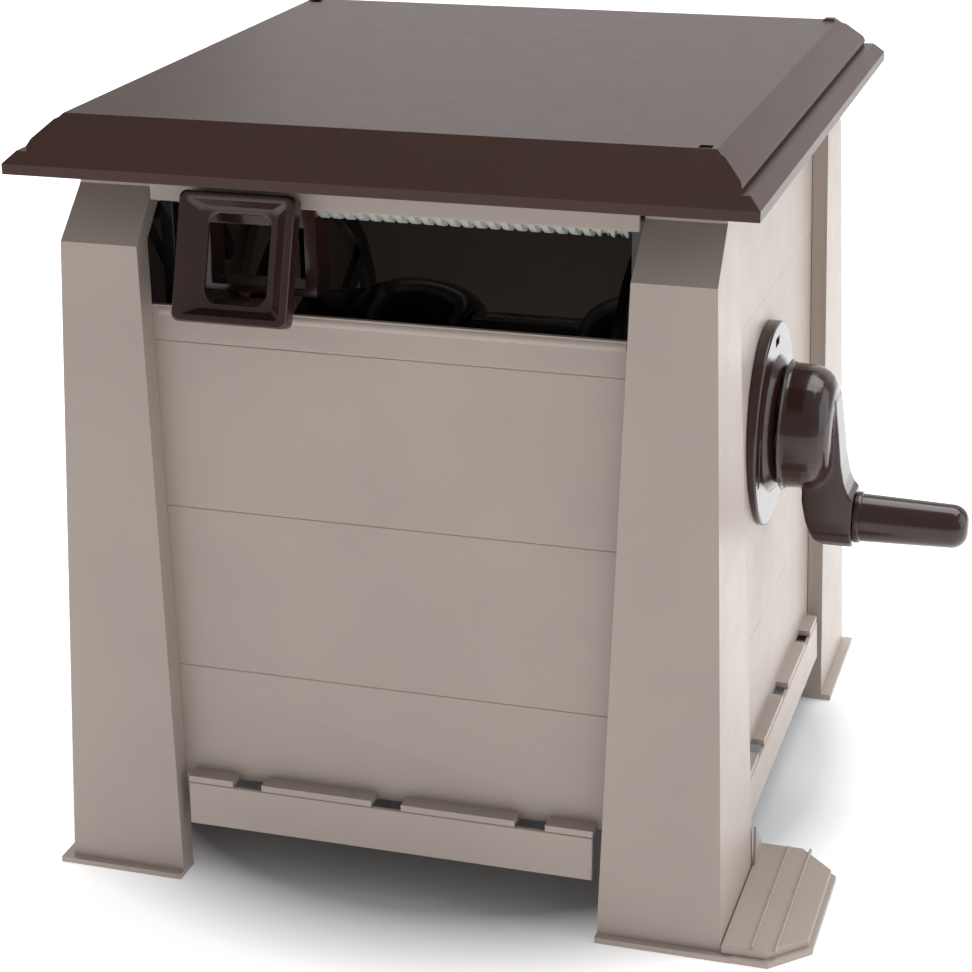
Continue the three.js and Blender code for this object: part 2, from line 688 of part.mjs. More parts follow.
// ---------------------------------------------------------------- crank
// The crank: a domed cap with a thin lip, and an arm that grows out of the cap's outer face,
// leans outwards and ends in a round boss that carries the grip.
function crankGeometry() {
  const { base, dome, flange, cap, round, armHalf, endHalf, endDrop } = CRANK;
  const shoulder = Array.from({ length: 6 }, (_, i) => {
    const angle = (i / 5) * (Math.PI / 2);
    return [cap - 1 - round + round * Math.cos(angle), dome - round + round * Math.sin(angle)];
  });
  const hollow = shoulder.map(([radius, x]) => [Math.max(radius - 5, 0), x - 4]).reverse();
  const cup = facingOut(
    turnX(
      [
        [flange, base],
        [flange, base + 1.6],
        [cap + 0.6, base + 2.4],
        [cap, base + 5],
        ...shoulder,
        [0, dome],
        [0, dome - 4],
        ...hollow,
        [cap - 6, base],
        [flange, base],
      ],
      AXIS.y,
      AXIS.z,
      40,
    ),
  );
  const socket = rodX(20, base + 2, dome - 3, AXIS.y, AXIS.z, 24);
  const grip = AXIS.z - CRANK.arm;
  const side = pullY(
    [
      [dome - 18, AXIS.z - 20],
      [dome - 5, AXIS.z + 40],
      [dome + 1, AXIS.z + 28],
      [dome + 4.5, AXIS.z],
      [dome + 7.5, AXIS.z - 27],
      [dome + 11, AXIS.z - 44],
      [dome + 15, AXIS.z - 53],
      [GRIP.start, AXIS.z - 57.5],
      [GRIP.start, grip - endDrop],
      [dome - 3, grip - endDrop],
      [dome - 11, grip - endDrop + 4],
      [dome - 15, grip - endDrop + 9],
      [dome - 21, AXIS.z - 80],
      [dome - 25, AXIS.z - 62],
      [dome - 25, AXIS.z - 46],
    ].reverse(),
    AXIS.y - 40,
    AXIS.y + 40,
  );
  const end = Array.from({ length: 9 }, (_, i) => {
    const angle = -Math.PI + (i * Math.PI) / 8;
    return [AXIS.y + endHalf * Math.cos(angle), grip + endDrop * Math.sin(angle)];
  });
  const top = Array.from({ length: 7 }, (_, i) => {
    const angle = (i * Math.PI) / 6;
    return [AXIS.y + armHalf * Math.cos(angle), AXIS.z + 20 + armHalf * Math.sin(angle)];
  });
  const front = pullX([...end, ...top], 280, 360);
  const bore = rodX(AXLE.radius + GAP, 270, AXLE.right + GAP, AXIS.y, AXIS.z, 24);
  const pinBore = rodX(GRIP.pin + GAP, GRIP.start - 18, 360, AXIS.y, AXIS.z - CRANK.arm, 16);
  return cut(join(cup, socket, common(side, front)), bore, pinBore);
}
add('crank_arm', crankGeometry(), BROWN, reel);
const GRIP_Z = AXIS.z - CRANK.arm;
add('grip_pin', rodX(GRIP.pin, GRIP.start - 17.6, GRIP.end - 8, AXIS.y, GRIP_Z, 16), STEEL, reel);

function gripGeometry() {
  const { start, end, rootRadius, tipRadius, pin } = GRIP;
  const nose = Array.from({ length: 6 }, (_, i) => {
    const angle = (i / 5) * (Math.PI / 2);
    return [tipRadius - 9 + 9 * Math.cos(angle), end - 9 + 9 * Math.sin(angle)];
  });
  const profile = [
    [pin + GAP, start + GAP],
    [rootRadius - 2, start + GAP],
    [rootRadius, start + 3],
    ...nose,
    [0, end],
    [0, end - 7],
    [pin + GAP, end - 7],
  ];
  return facingOut(turnX([...profile, profile[0]], AXIS.y, GRIP_Z, 28));
}
add('crank_grip', gripGeometry(), BROWN);

// ---------------------------------------------------------------- drive to the traverse screw
// A flanged pulley about an X line; the belt runs in its groove.
function pulleyGeometry(radius, bore, y, z, sides) {
  const half = DRIVE.width / 2;
  const profile = [
    [bore, -half - 1.6],
    [radius + 3, -half - 1.6],
    [radius + 3, -half],
    [radius, -half],
    [radius, half],
    [radius + 3, half],
    [radius + 3, half + 1.6],
    [bore, half + 1.6],
    [bore, -half - 1.6],
  ];
  return facingOut(turnX(profile, y, z, sides)).translate(DRIVE.x, 0, 0);
}
add('reel_pulley', pulleyGeometry(DRIVE.reelRadius, AXLE.radius + GAP, AXIS.y, AXIS.z, 36), BLACK, reel);

const screw = new THREE.Group();
part.add(screw);
const screwPulley = pulleyGeometry(DRIVE.screwRadius, SCREW.journal + GAP, SCREW.y, SCREW.z, 24);
add('screw_pulley', screwPulley, BLACK, screw);
const screwProfile = [
  [0, -SCREW.half],
  [SCREW.journal, -SCREW.half],
  [SCREW.journal, -SCREW.threadHalf],
  [SCREW.radius, -SCREW.threadHalf],
  [SCREW.radius, SCREW.threadHalf],
  [SCREW.journal, SCREW.threadHalf],
  [SCREW.journal, SCREW.threadHalf + 18],
  [0, SCREW.threadHalf + 18],
];
add('traverse_screw', facingOut(turnX(screwProfile, SCREW.y, SCREW.z, 24)), GREY, screw);

// The belt's loop: two arcs round the pulleys joined by straight runs.
function beltLoop(extra, x) {
  const dy = SCREW.y - AXIS.y;
  const dz = SCREW.z - AXIS.z;
  const along = Math.atan2(dz, dy);
  const spread = Math.acos((DRIVE.reelRadius - DRIVE.screwRadius) / Math.hypot(dy, dz));
  const arc = (y, z, radius, from, to, steps) =>
    Array.from({ length: steps + 1 }, (_, i) => {
      const angle = from + ((to - from) * i) / steps;
      return [x, y + (radius + extra) * Math.cos(angle), z + (radius + extra) * Math.sin(angle)];
    });
  return [
    ...arc(AXIS.y, AXIS.z, DRIVE.reelRadius, along + spread, along + 2 * Math.PI - spread, 20),
    ...arc(SCREW.y, SCREW.z, DRIVE.screwRadius, along - spread, along + spread, 10),
  ];
}
const beltHalf = DRIVE.width / 2 - 1;
const beltLoops = [
  beltLoop(GAP, DRIVE.x - beltHalf),
  beltLoop(GAP, DRIVE.x + beltHalf),
  beltLoop(GAP + DRIVE.belt, DRIVE.x + beltHalf),
  beltLoop(GAP + DRIVE.belt, DRIVE.x - beltHalf),
];
add('drive_belt', facingOut(loft(beltLoops, true)), RUBBER);

// A sprung arm with an idler wheel that keeps the belt tight.
const IDLER = { y: -94.2, z: 497.3, radius: 12, pin: 4, pivotY: -136.9, pivotZ: 566.2 };
function tensionerGeometry() {
  const [x0, x1] = [DRIVE.x + 8, DRIVE.x + 13];
  const dy = IDLER.pivotY - IDLER.y;
  const dz = IDLER.pivotZ - IDLER.z;
  const length = Math.hypot(dy, dz);
  const bar = box(x0, x1, -8, 8, 0, length).rotateX(Math.atan2(-dy, dz)).translate(0, IDLER.y, IDLER.z);
  const ends = [rodX(9, x0, x1, IDLER.y, IDLER.z, 20), rodX(11, x0, x1, IDLER.pivotY, IDLER.pivotZ, 20)];
  const pin = rodX(IDLER.pin, DRIVE.x - 6, x0 + 1, IDLER.y, IDLER.z, 16);
  return cut(join(bar, ...ends, pin), rodX(4 + GAP, -300, 0, IDLER.pivotY, IDLER.pivotZ, 16));
}
add('tensioner_arm', tensionerGeometry(), BLACK);
const idlerProfile = [
  [IDLER.pin + GAP, -5],
  [IDLER.radius, -5],
  [IDLER.radius, 5],
  [IDLER.pin + GAP, 5],
  [IDLER.pin + GAP, -5],
];
add('idler_wheel', facingOut(turnX(idlerProfile, IDLER.y, IDLER.z, 24)).translate(DRIVE.x, 0, 0), GREY);
const tensionerStud = join(
  rodX(4, -244, DRIVE.x + 14, IDLER.pivotY, IDLER.pivotZ, 16),
  rodX(12, -246, -240, IDLER.pivotY, IDLER.pivotZ, 20),
);
add('tensioner_stud', tensionerStud, STEEL);

// ---------------------------------------------------------------- screw brackets and hose guide
function screwBracketGeometry() {
  const { inner, outer, frontY, rearY, low, high } = BRACKET;
  const arm = box(inner, outer, frontY, rearY, low, high);
  return cut(arm, rodX(SCREW.journal + GAP, inner - 5, outer + 5, SCREW.y, SCREW.z, 16));
}
const bracket = screwBracketGeometry();
add('screw_bracket_right', bracket, BLACK);
add('screw_bracket_left', mirrored(bracket, -1, 1), BLACK);

// A rounded rectangle in the XZ plane at depth y, as a loop of points.
function roundedLoop(width, height, radius, y) {
  const steps = 4;
  return [0, 1, 2, 3].flatMap((quarter) => {
    const cx = (quarter === 0 || quarter === 3 ? 1 : -1) * (width / 2 - radius);
    const cz = (quarter < 2 ? 1 : -1) * (height / 2 - radius);
    return Array.from({ length: steps + 1 }, (_, i) => {
      const angle = (quarter + i / steps) * (Math.PI / 2);
      return [cx + radius * Math.cos(angle), y, cz + radius * Math.sin(angle)];
    });
  });
}

// The guide is a tilted funnel-shaped frame on a foot that slides along the front panel's lip.
function guideGeometry() {
  const { width, height, depth, holeWidth, holeHeight } = GUIDE;
  const frame = facingOut(
    loft(
      [
        roundedLoop(width, height, 6, depth),
        roundedLoop(width, height, 6, 3),
        roundedLoop(width - 4, height - 4, 5, 0),
        roundedLoop(width - 14, height - 12, 4, 0.6),
        roundedLoop(holeWidth + 13, holeHeight + 10, 6, 8.5),
        roundedLoop(holeWidth + 2, holeHeight + 2, 10, 10.5),
        roundedLoop(holeWidth, holeHeight, 10, depth),
      ],
      true,
    ),
  );
  frame.rotateX(THREE.MathUtils.degToRad(-GUIDE.tilt)).translate(0, GUIDE.y, GUIDE.z);
  const foot = box(-34, 34, -297, BRACKET.rearY, 500.4, 505);
  return join(frame, foot).translate(GUIDE.x, 0, 0);
}
const guide = new THREE.Group();
part.add(guide);
add('hose_guide', guideGeometry(), BROWN, guide);

function carriageGeometry() {
  const { frontY, rearY, high } = BRACKET;
  const { low, wall, windowLow, windowHigh } = CARRIAGE;
  const half = CARRIAGE.width / 2;
  const frame = box(-half, half, frontY, rearY, low, high);
  const window = box(-half + wall, half - wall, frontY - 5, rearY + 5, windowLow, windowHigh);
  const bore = rodX(SCREW.radius + GAP, -half - 5, half + 5, SCREW.y, SCREW.z, 24);
  const pawlHole = new THREE.CylinderGeometry(4.4, 4.4, 20, 16).rotateX(Math.PI / 2);
  pawlHole.translate(0, SCREW.y, 564);
  return cut(frame, window, bore, pawlHole).translate(GUIDE.x, 0, 0);
}
add('guide_carriage', carriageGeometry(), BROWN, guide);
const pawl = new THREE.CylinderGeometry(4, 4, 9, 16).rotateX(Math.PI / 2);
add('guide_pawl', pawl.translate(GUIDE.x, SCREW.y, 563.2), BRASS, guide);

part.position.x = SHIFT_X;
export default part;
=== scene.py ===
"""Looks of a garden hose reel cabinet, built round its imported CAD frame.

The frame is in metres, +Z up, with the front towards -Y and the crank towards +X. Shapes that
are made here are drawn in millimetres about a point that is worked out from the CAD nodes.
"""
import json
import math

import bmesh
import bpy
from mathutils import Matrix, Vector


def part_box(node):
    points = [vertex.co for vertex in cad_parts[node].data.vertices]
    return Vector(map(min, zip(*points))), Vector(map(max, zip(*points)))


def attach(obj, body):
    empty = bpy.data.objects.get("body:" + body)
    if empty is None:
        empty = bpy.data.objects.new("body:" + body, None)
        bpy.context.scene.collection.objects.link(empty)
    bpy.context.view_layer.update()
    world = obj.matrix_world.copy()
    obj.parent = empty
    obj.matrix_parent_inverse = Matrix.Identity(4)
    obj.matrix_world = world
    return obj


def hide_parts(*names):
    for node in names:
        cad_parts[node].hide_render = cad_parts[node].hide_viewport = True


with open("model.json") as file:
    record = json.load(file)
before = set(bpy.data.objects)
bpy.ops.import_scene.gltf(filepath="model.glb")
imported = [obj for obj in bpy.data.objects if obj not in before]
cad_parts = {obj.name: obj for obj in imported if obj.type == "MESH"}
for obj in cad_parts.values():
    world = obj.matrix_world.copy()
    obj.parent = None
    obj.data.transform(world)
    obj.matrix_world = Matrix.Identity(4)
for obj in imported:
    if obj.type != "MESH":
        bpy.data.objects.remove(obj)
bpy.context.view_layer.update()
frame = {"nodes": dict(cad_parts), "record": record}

MM = 0.001
BOX = {name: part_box(name) for name in frame["nodes"]}
BODY = {
    node: body
    for body, nodes in frame["record"]["behaviour"]["bodies"].items()
    for node in nodes
}


def middle(name):
    """The centre of a CAD node's box."""
    low, high = BOX[name]
    return (low + high) / 2


REEL_AXIS = middle("reel_axle")
SCREW_AXIS = middle("traverse_screw")
GRIP_AXIS = middle("crank_grip")


# ------------------------------------------------------------------ material helpers
class Nodes:
    """A material's node tree, with the calls that the finishes share."""

    def __init__(self, name):
        self.material = bpy.data.materials.new(name)
        self.material.use_nodes = True
        self.tree = self.material.node_tree
        self.shader = self.tree.nodes["Principled BSDF"]
        self.place = self.add("ShaderNodeTexCoord").outputs["Object"]

    def add(self, kind, **values):
        node = self.tree.nodes.new(kind)
        for key, value in values.items():
            if key in node.inputs:
                node.inputs[key].default_value = value
            else:
                setattr(node, key, value)
        return node

    def link(self, output, target):
        self.tree.links.new(output, target)

    def set(self, **values):
        for key, value in values.items():
            self.shader.inputs[key.replace("_", " ")].default_value = value

    def stretched(self, scale):
        """Object coordinates scaled per axis, for streaks."""
        mapping = self.add("ShaderNodeMapping")
        mapping.inputs["Scale"].default_value = scale
        self.link(self.place, mapping.inputs["Vector"])
        return mapping.outputs["Vector"]

    def noise(self, scale, detail=3.0, roughness=0.55, where=None):
        node = self.add("ShaderNodeTexNoise", Scale=scale, Detail=detail, Roughness=roughness)
        self.link(where or self.place, node.inputs["Vector"])
        return node.outputs["Fac"]

    def spread(self, value, low, high, start=0.3, end=0.7):
        """Maps a noise value from start..end to low..high."""
        node = self.add("ShaderNodeMapRange")
        for key, number in (("From Min", start), ("From Max", end), ("To Min", low), ("To Max", high)):
            node.inputs[key].default_value = number
        self.link(value, node.inputs["Value"])
        return node.outputs["Result"]

    def blend(self, factor, first, second):
        """Mixes two colours, each an (r, g, b) or a socket."""
        node = self.add("ShaderNodeMix", data_type="RGBA")
        self.link(factor, node.inputs["Factor"])
        for socket, color in ((node.inputs[6], first), (node.inputs[7], second)):
            if isinstance(color, bpy.types.NodeSocket):
                self.link(color, socket)
            else:
                socket.default_value = (*color, 1)
        return node.outputs[2]

    def bump(self, height, strength, distance, below=None):
        node = self.add("ShaderNodeBump", Strength=strength, Distance=distance)
        self.link(height, node.inputs["Height"])
        if below is not None:
            self.link(below, node.inputs["Normal"])
        return node.outputs["Normal"]

    def painted_edge_highlight(self, low, high):
        """A factor that is 1 on sharp outer edges and 0 elsewhere, for a painted highlight along them."""
        pointiness = self.add("ShaderNodeNewGeometry").outputs["Pointiness"]
        return self.spread(pointiness, 0.0, 1.0, low, high)


def tinted(color, factor):
    """A colour made darker or paler by a factor."""
    return tuple(min(1.0, channel * factor) for channel in color)


def moulded(
    name, color, roughness, grain, depth, mottle=0.05, edge=0.12, uneven=0.04, coat=0.0, specular=0.5
):
    """Injection-moulded plastic: mottled colour, a painted highlight that makes the sharp edges paler, and a
    spark-eroded grain as bump.
    """
    nodes = Nodes(name)
    cloud = nodes.spread(nodes.noise(9.0, 4.0), 0.0, 1.0)
    base = nodes.blend(cloud, tinted(color, 1 - mottle), tinted(color, 1 + mottle))
    # Painted highlight: sharp outer edges are made paler by the edge factor.
    edge_highlighted_color = nodes.blend(nodes.painted_edge_highlight(0.52, 0.62), base, tinted(color, 1 + edge))
    nodes.link(edge_highlighted_color, nodes.shader.inputs["Base Color"])
    patch = nodes.noise(35.0, 3.0)
    gloss = nodes.spread(patch, roughness - uneven, roughness + uneven)
    nodes.link(gloss, nodes.shader.inputs["Roughness"])
    pits = nodes.noise(grain, 2.0, 0.6)
    nodes.link(nodes.bump(pits, 0.5, depth), nodes.shader.inputs["Normal"])
    nodes.set(Coat_Weight=coat, Coat_Roughness=0.06, Specular_IOR_Level=specular)
    return nodes.material


def metal(name, color, roughness, streak):
    """Turned or plated metal with fine streaks."""
    nodes = Nodes(name)
    lines = nodes.noise(1.0, 4.0, 0.6, nodes.stretched(streak))
    nodes.link(nodes.blend(lines, tinted(color, 0.82), color), nodes.shader.inputs["Base Color"])
    nodes.link(nodes.spread(lines, roughness - 0.08, roughness + 0.1), nodes.shader.inputs["Roughness"])
    nodes.link(nodes.bump(lines, 0.3, 0.00005), nodes.shader.inputs["Normal"])
    nodes.set(Metallic=1.0)
    return nodes.material


def rubber(name, color):
    """Matte rubber with a fine weave."""
    nodes = Nodes(name)
    weave = nodes.noise(900.0, 2.0)
    nodes.link(nodes.blend(weave, tinted(color, 0.7), tinted(color, 1.4)), nodes.shader.inputs["Base Color"])
    nodes.link(nodes.spread(weave, 0.75, 0.9), nodes.shader.inputs["Roughness"])
    nodes.link(nodes.bump(weave, 0.4, 0.0001), nodes.shader.inputs["Normal"])
    return nodes.material


def printed_film(name, color, line_color, line_x, line_angle):
    """Shiny film wrapped on the drum, slightly wrinkled, with one pale line along it."""
    nodes = Nodes(name)
    parts = nodes.add("ShaderNodeSeparateXYZ")
    nodes.link(nodes.place, parts.inputs["Vector"])

    def math_node(operation, first, second):
        node = nodes.add("ShaderNodeMath", operation=operation)
        for socket, value in zip(node.inputs, (first, second)):
            if isinstance(value, bpy.types.NodeSocket):
                nodes.link(value, socket)
            else:
                socket.default_value = value
        return node.outputs["Value"]

    back = math_node("SUBTRACT", parts.outputs["Y"], REEL_AXIS.y)
    up = math_node("SUBTRACT", parts.outputs["Z"], REEL_AXIS.z)
    angle = math_node("ARCTAN2", back, up)
    line_half = 0.045
    off = math_node("ABSOLUTE", math_node("SUBTRACT", angle, line_angle), 0.0)
    beside = math_node("GREATER_THAN", parts.outputs["X"], line_x)
    line = math_node("MULTIPLY", math_node("LESS_THAN", off, line_half), beside)
    nodes.link(nodes.blend(line, color, line_color), nodes.shader.inputs["Base Color"])
    wrinkle = nodes.noise(1.0, 3.0, 0.5, nodes.stretched((14.0, 60.0, 60.0)))
    nodes.link(nodes.bump(wrinkle, 0.35, 0.0008), nodes.shader.inputs["Normal"])
    nodes.link(nodes.spread(wrinkle, 0.22, 0.34), nodes.shader.inputs["Roughness"])
    return nodes.material


# Each material's edge value sets how much paler its painted edge highlight is.
TAN = moulded("tan_moulded_plastic", (0.41, 0.343, 0.298), 0.4, 1500.0, 0.00012)
LID_BROWN = moulded(
    "lid_brown_plastic",
    (0.042, 0.0165, 0.0095),
    roughness=0.33,
    grain=1300.0,
    depth=0.00008,
    mottle=0.04,
    edge=0.5,
    uneven=0.012,
    specular=0.36,
)
GLOSS_BROWN = moulded(
    "glossy_brown_plastic",
    (0.034, 0.0135, 0.0105),
    roughness=0.2,
    grain=400.0,
    depth=0.00003,
    mottle=0.08,
    edge=0.6,
    uneven=0.02,
    coat=0.25,
    specular=0.4,
)
BLACK = moulded(
    "black_reel_plastic",
    (0.006, 0.006, 0.007),
    roughness=0.22,
    grain=600.0,
    depth=0.00004,
    mottle=0.15,
    edge=0.4,
    coat=0.2,
)
GREY = moulded("grey_acetal_plastic", (0.5, 0.51, 0.46), 0.35, 900.0, 0.00004)
FILM = printed_film(
    "sleeve_film", (0.006, 0.007, 0.0065), (0.3, 0.38, 0.26), BOX["drum_sleeve"][0].x + 0.012, 0.02
)
STEEL = metal("zinc_plated_steel", (0.55, 0.56, 0.58), 0.3, (900.0, 60.0, 60.0))
BRASS = metal("turned_brass", (0.62, 0.42, 0.17), 0.28, (60.0, 60.0, 1500.0))
RUBBER = rubber("belt_rubber", (0.015, 0.015, 0.015))

SLOTS = {
    "tan_plastic": TAN,
    "lid_plastic": LID_BROWN,
    "brown_plastic": GLOSS_BROWN,
    "black_plastic": BLACK,
    "grey_plastic": GREY,
    "sleeve_film": FILM,
    "steel": STEEL,
    "brass": BRASS,
    "belt_rubber": RUBBER,
}


# ------------------------------------------------------------------ mesh helpers
def shade(mesh, angle=32):
    """Smooth faces, with the edges sharper than the angle kept crisp."""
    mesh.polygons.foreach_set("use_smooth", [True] * len(mesh.polygons))
    mesh.set_sharp_from_angle(angle=math.radians(angle))


def piece(name, mesh, slot, *nodes, bevel=0.0, segments=2):
    """Puts a mesh in the scene, in place of the CAD nodes named and on their body."""
    obj = bpy.data.objects.new(name, mesh)
    bpy.context.scene.collection.objects.link(obj)
    mesh.materials.append(SLOTS[slot])
    if bevel:
        edge = obj.modifiers.new("edges", "BEVEL")
        edge.width = bevel * MM
        edge.segments = segments
        edge.limit_method = "ANGLE"
        edge.angle_limit = math.radians(32)
        edge.miter_outer = "MITER_ARC"
        normals = obj.modifiers.new("normals", "WEIGHTED_NORMAL")
        normals.keep_sharp = True
    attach(obj, BODY[nodes[0]])
    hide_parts(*nodes)
    return obj


def to_mesh(name, bm):
    bmesh.ops.recalc_face_normals(bm, faces=bm.faces)
    mesh = bpy.data.meshes.new(name)
    bm.to_mesh(mesh)
    bm.free()
    return mesh


def cad_faces(node, merge=True):
    """A CAD node's skin again, with its triangles merged into whole flat faces if asked."""
    bm = bmesh.new()
    bm.from_mesh(frame["nodes"][node].data)
    bmesh.ops.remove_doubles(bm, verts=bm.verts, dist=1e-6)
    if merge:
        bmesh.ops.dissolve_limit(bm, angle_limit=math.radians(0.6), verts=bm.verts, edges=bm.edges)
    return bm


def rounded(node, slot, bevel, segments=2):
    """A CAD node with its sharp edges rounded. Without a bevel its faces stay as they are."""
    mesh = to_mesh(node + "_rounded", cad_faces(node, merge=bevel > 0))
    shade(mesh)
    return piece(node + "_skin", mesh, slot, node, bevel=bevel, segments=segments)


def loft(bm, loops, ring=False):
    """Joins equal loops of points in millimetres; the ends are closed, or the last meets the first."""
    rows = [[bm.verts.new(Vector(point) * MM) for point in loop] for loop in loops]
    count = len(rows[0])
    spans = zip(rows, rows[1:] + rows[:1]) if ring else zip(rows, rows[1:])
    for low, high in spans:
        for j in range(count):
            k = (j + 1) % count
            bm.faces.new((low[j], low[k], high[k], high[j]))
    if not ring:
        bm.faces.new(rows[0][::-1])
        bm.faces.new(rows[-1])
    return rows


def turned(bm, profile, steps=96, ring=False):
    """A solid of revolution about X; the profile is a list of [radius, x] in millimetres.

    With ring the profile closes on itself, and otherwise it starts and ends on the axis.
    """
    def loop(radius, x):
        angles = [2 * math.pi * i / steps for i in range(steps)]
        return [(x, radius * math.cos(a), radius * math.sin(a)) for a in angles]

    if ring:
        loft(bm, [loop(r, x) for r, x in profile], ring=True)
        return
    rows = loft(bm, [loop(r, x) for r, x in profile[1:-1]])
    for row, (_, x) in ((rows[0], profile[0]), (rows[-1], profile[-1])):
        cap = bmesh.ops.poke(bm, faces=[f for f in row[0].link_faces if len(f.verts) == steps])
        cap["verts"][0].co.x = x * MM


def arc(radius_x, radius_y, start, end, steps):
    """Points of an elliptic arc about 0, 0, from start to end degrees."""
    for i in range(steps + 1):
        a = math.radians(start + (end - start) * i / steps)
        yield radius_x * math.cos(a), radius_y * math.sin(a)


def box(bm, low, high):
    """A block between two corners, in millimetres."""
    size = Vector(high) - Vector(low)
    centre = (Vector(high) + Vector(low)) / 2
    place = Matrix.Translation(centre * MM) @ Matrix.Diagonal((*(size * MM), 1))
    bmesh.ops.create_cube(bm, size=1, matrix=place)


def prism(bm, outline, low, high):
    """An upright prism over an outline of [x, y] points in millimetres."""
    loft(bm, [[(x, y, z) for x, y in outline] for z in (low, high)])


def placed(bm, at):
    """Moves a whole mesh by a distance in metres."""
    bmesh.ops.translate(bm, verts=bm.verts, vec=Vector(at))


# ------------------------------------------------------------------ cabinet
for corner in ("rear_right", "rear_left", "front_right", "front_left"):
    rounded("post_" + corner, "tan_plastic", 1.6, 3)
for side in ("rear", "front"):
    rounded(side + "_panel", "tan_plastic", 0.7)
    rounded("top_rail_" + side, "tan_plastic", 1.2, 3)
    rounded("skirt_" + side, "tan_plastic", 0.8)
for side in ("left", "right"):
    rounded("side_panel_" + side, "tan_plastic", 0.7)
    rounded("skirt_" + side, "tan_plastic", 0.8)
    rounded("hinge_bracket_" + side, "tan_plastic", 0.5)
    rounded("hinge_pin_" + side, "steel", 0.5)
    rounded("screw_bracket_" + side, "black_plastic", 0.6)
    rounded("lid_knuckle_" + side, "lid_plastic", 0.5)


def step_plate():
    """The foot rest: a base with cut corners, a stepped upper layer, two ribs and an upright web."""
    low, high = BOX["step_plate"]
    width, length = (high.x - low.x) / MM, (high.y - low.y) / MM
    foot, edge, top, overlap = 8.5, 6.0, 13.0, 0.6
    inset, cut, taper = 4.0, 31.0, 0.6
    rib_starts, rib_width, rib_rise, rib_inset = (23.4, 42.4), 2.4, 2.0, inset + 2
    web_front, web_rear, web_top = length - 43, length - 5, 50.0
    bm = bmesh.new()

    def outline(start, back):
        return [
            (start, back),
            (width - cut - back * taper, back),
            (width - back, cut + back * taper),
            (width - back, length - cut - back * taper),
            (width - cut - back * taper, length - back),
            (start, length - back),
        ]

    prism(bm, outline(foot, 0), 0, edge)
    prism(bm, outline(0, inset), edge - overlap, top)
    for x in rib_starts:
        box(bm, (x, rib_inset, top - 1), (x + rib_width, length - rib_inset, top + rib_rise))
    web = [(web_front, top - 1), (web_rear, top - 1), (web_front, web_top)]
    loft(bm, [[(x, y, z) for y, z in web] for x in (0, rib_width)])
    placed(bm, (low.x, low.y, 0))
    mesh = to_mesh("step_plate_stepped", bm)
    shade(mesh)
    return piece("step_plate_stepped", mesh, "tan_plastic", "step_plate", bevel=0.8, segments=3)


step_plate()
rounded("bearing_plate", "brown_plastic", 0.7, 3)
rounded("axle_bearing_left", "tan_plastic", 0.8)

# ------------------------------------------------------------------ water inlet, belt drive and lid
rounded("inlet_elbow", "black_plastic", 0.6)
rounded("inlet_coupling", "brass", 0.5)
rounded("drive_belt", "belt_rubber", 0.3)
rounded("tensioner_stud", "steel", 0.5)
rounded("tensioner_arm", "black_plastic", 0.6)
rounded("idler_wheel", "grey_plastic", 0.5)
rounded("lid_shell", "lid_plastic", 0.6)


# ------------------------------------------------------------------ reel
rounded("reel_drum", "black_plastic", 0.6)
rounded("reel_axle", "steel", 0.8)
rounded("hose_outlet", "brass", 0.4)
rounded("grip_pin", "steel", 0.5)
rounded("reel_pulley", "black_plastic", 0.4)
rounded("screw_pulley", "black_plastic", 0.4)
rounded("drum_sleeve", "sleeve_film", 0.0)


def reel_flange(side, out, sweep, neck):
    """A bulging hub, six flat spokes and a rim. Out is -1 or 1, and sweep is the bulge's arc."""
    hub, root, wall, bulge = 102.0, 77.5, 6.0, 54.0
    rim, ring, thickness, proud = 172.0, 152.0, 7.0, 3.0
    seat, seat_length = root - 2.6, 24.0
    collar_bore, collar_radius, collar_length = 12.4, 24.0, 16.0
    spokes, spoke_half, spoke_start, turn = 6, 9.0, 18.0, 0.05
    low, high = BOX["reel_flange_" + side]
    inner = low.x if out > 0 else high.x
    reach = (high.x - low.x) / MM - proud
    steps, inside_from, sides = 36, 9, 128
    swell = []
    for i in range(steps + 1):
        a = math.radians(sweep * i / steps)
        swell.append((root + (hub - root) * math.sin(a), bulge * (1 - math.cos(a))))
    inside = [(radius - wall, x) for radius, x in swell[inside_from:]][::-1]
    lip = [(seat, 0.0), (root - 0.8, 0.1)]
    profile = [*lip, *swell[1:], (neck, reach), (neck - wall, reach), *inside, (seat, seat_length)]
    bm = bmesh.new()
    turned(bm, [(radius, out * x) for radius, x in profile], sides, ring=True)
    face = reach - thickness
    end = reach + proud
    edges = [
        (ring, face),
        (rim - 1, face),
        (rim, face + 1),
        (rim, end - 1),
        (rim - 1, end),
        (ring, end),
    ]
    turned(bm, [(radius, out * x) for radius, x in edges], sides, ring=True)
    collar = [
        (collar_bore, reach - collar_length),
        (collar_radius, reach - collar_length),
        (collar_radius, reach),
        (collar_bore, reach),
    ]
    turned(bm, [(radius, out * x) for radius, x in collar], sides // 2, ring=True)
    near, far = sorted((out * face, out * reach))
    for i in range(spokes):
        spoke = bmesh.new()
        box(spoke, (near, -spoke_half, spoke_start), (far, spoke_half, rim - 4))
        spin = Matrix.Rotation((i + turn) * math.tau / spokes, 4, "X")
        bmesh.ops.transform(spoke, matrix=spin, verts=spoke.verts)
        loose = bpy.data.meshes.new("spoke")
        spoke.to_mesh(loose)
        bm.from_mesh(loose)
        spoke.free()
    placed(bm, (inner, REEL_AXIS.y, REEL_AXIS.z))
    node = "reel_flange_" + side
    mesh = to_mesh(node + "_turned", bm)
    shade(mesh)
    return piece(node + "_turned", mesh, "black_plastic", node, bevel=0.6)


reel_flange("left", -1, 150, 84.0)
reel_flange("right", 1, 90, 102.0)


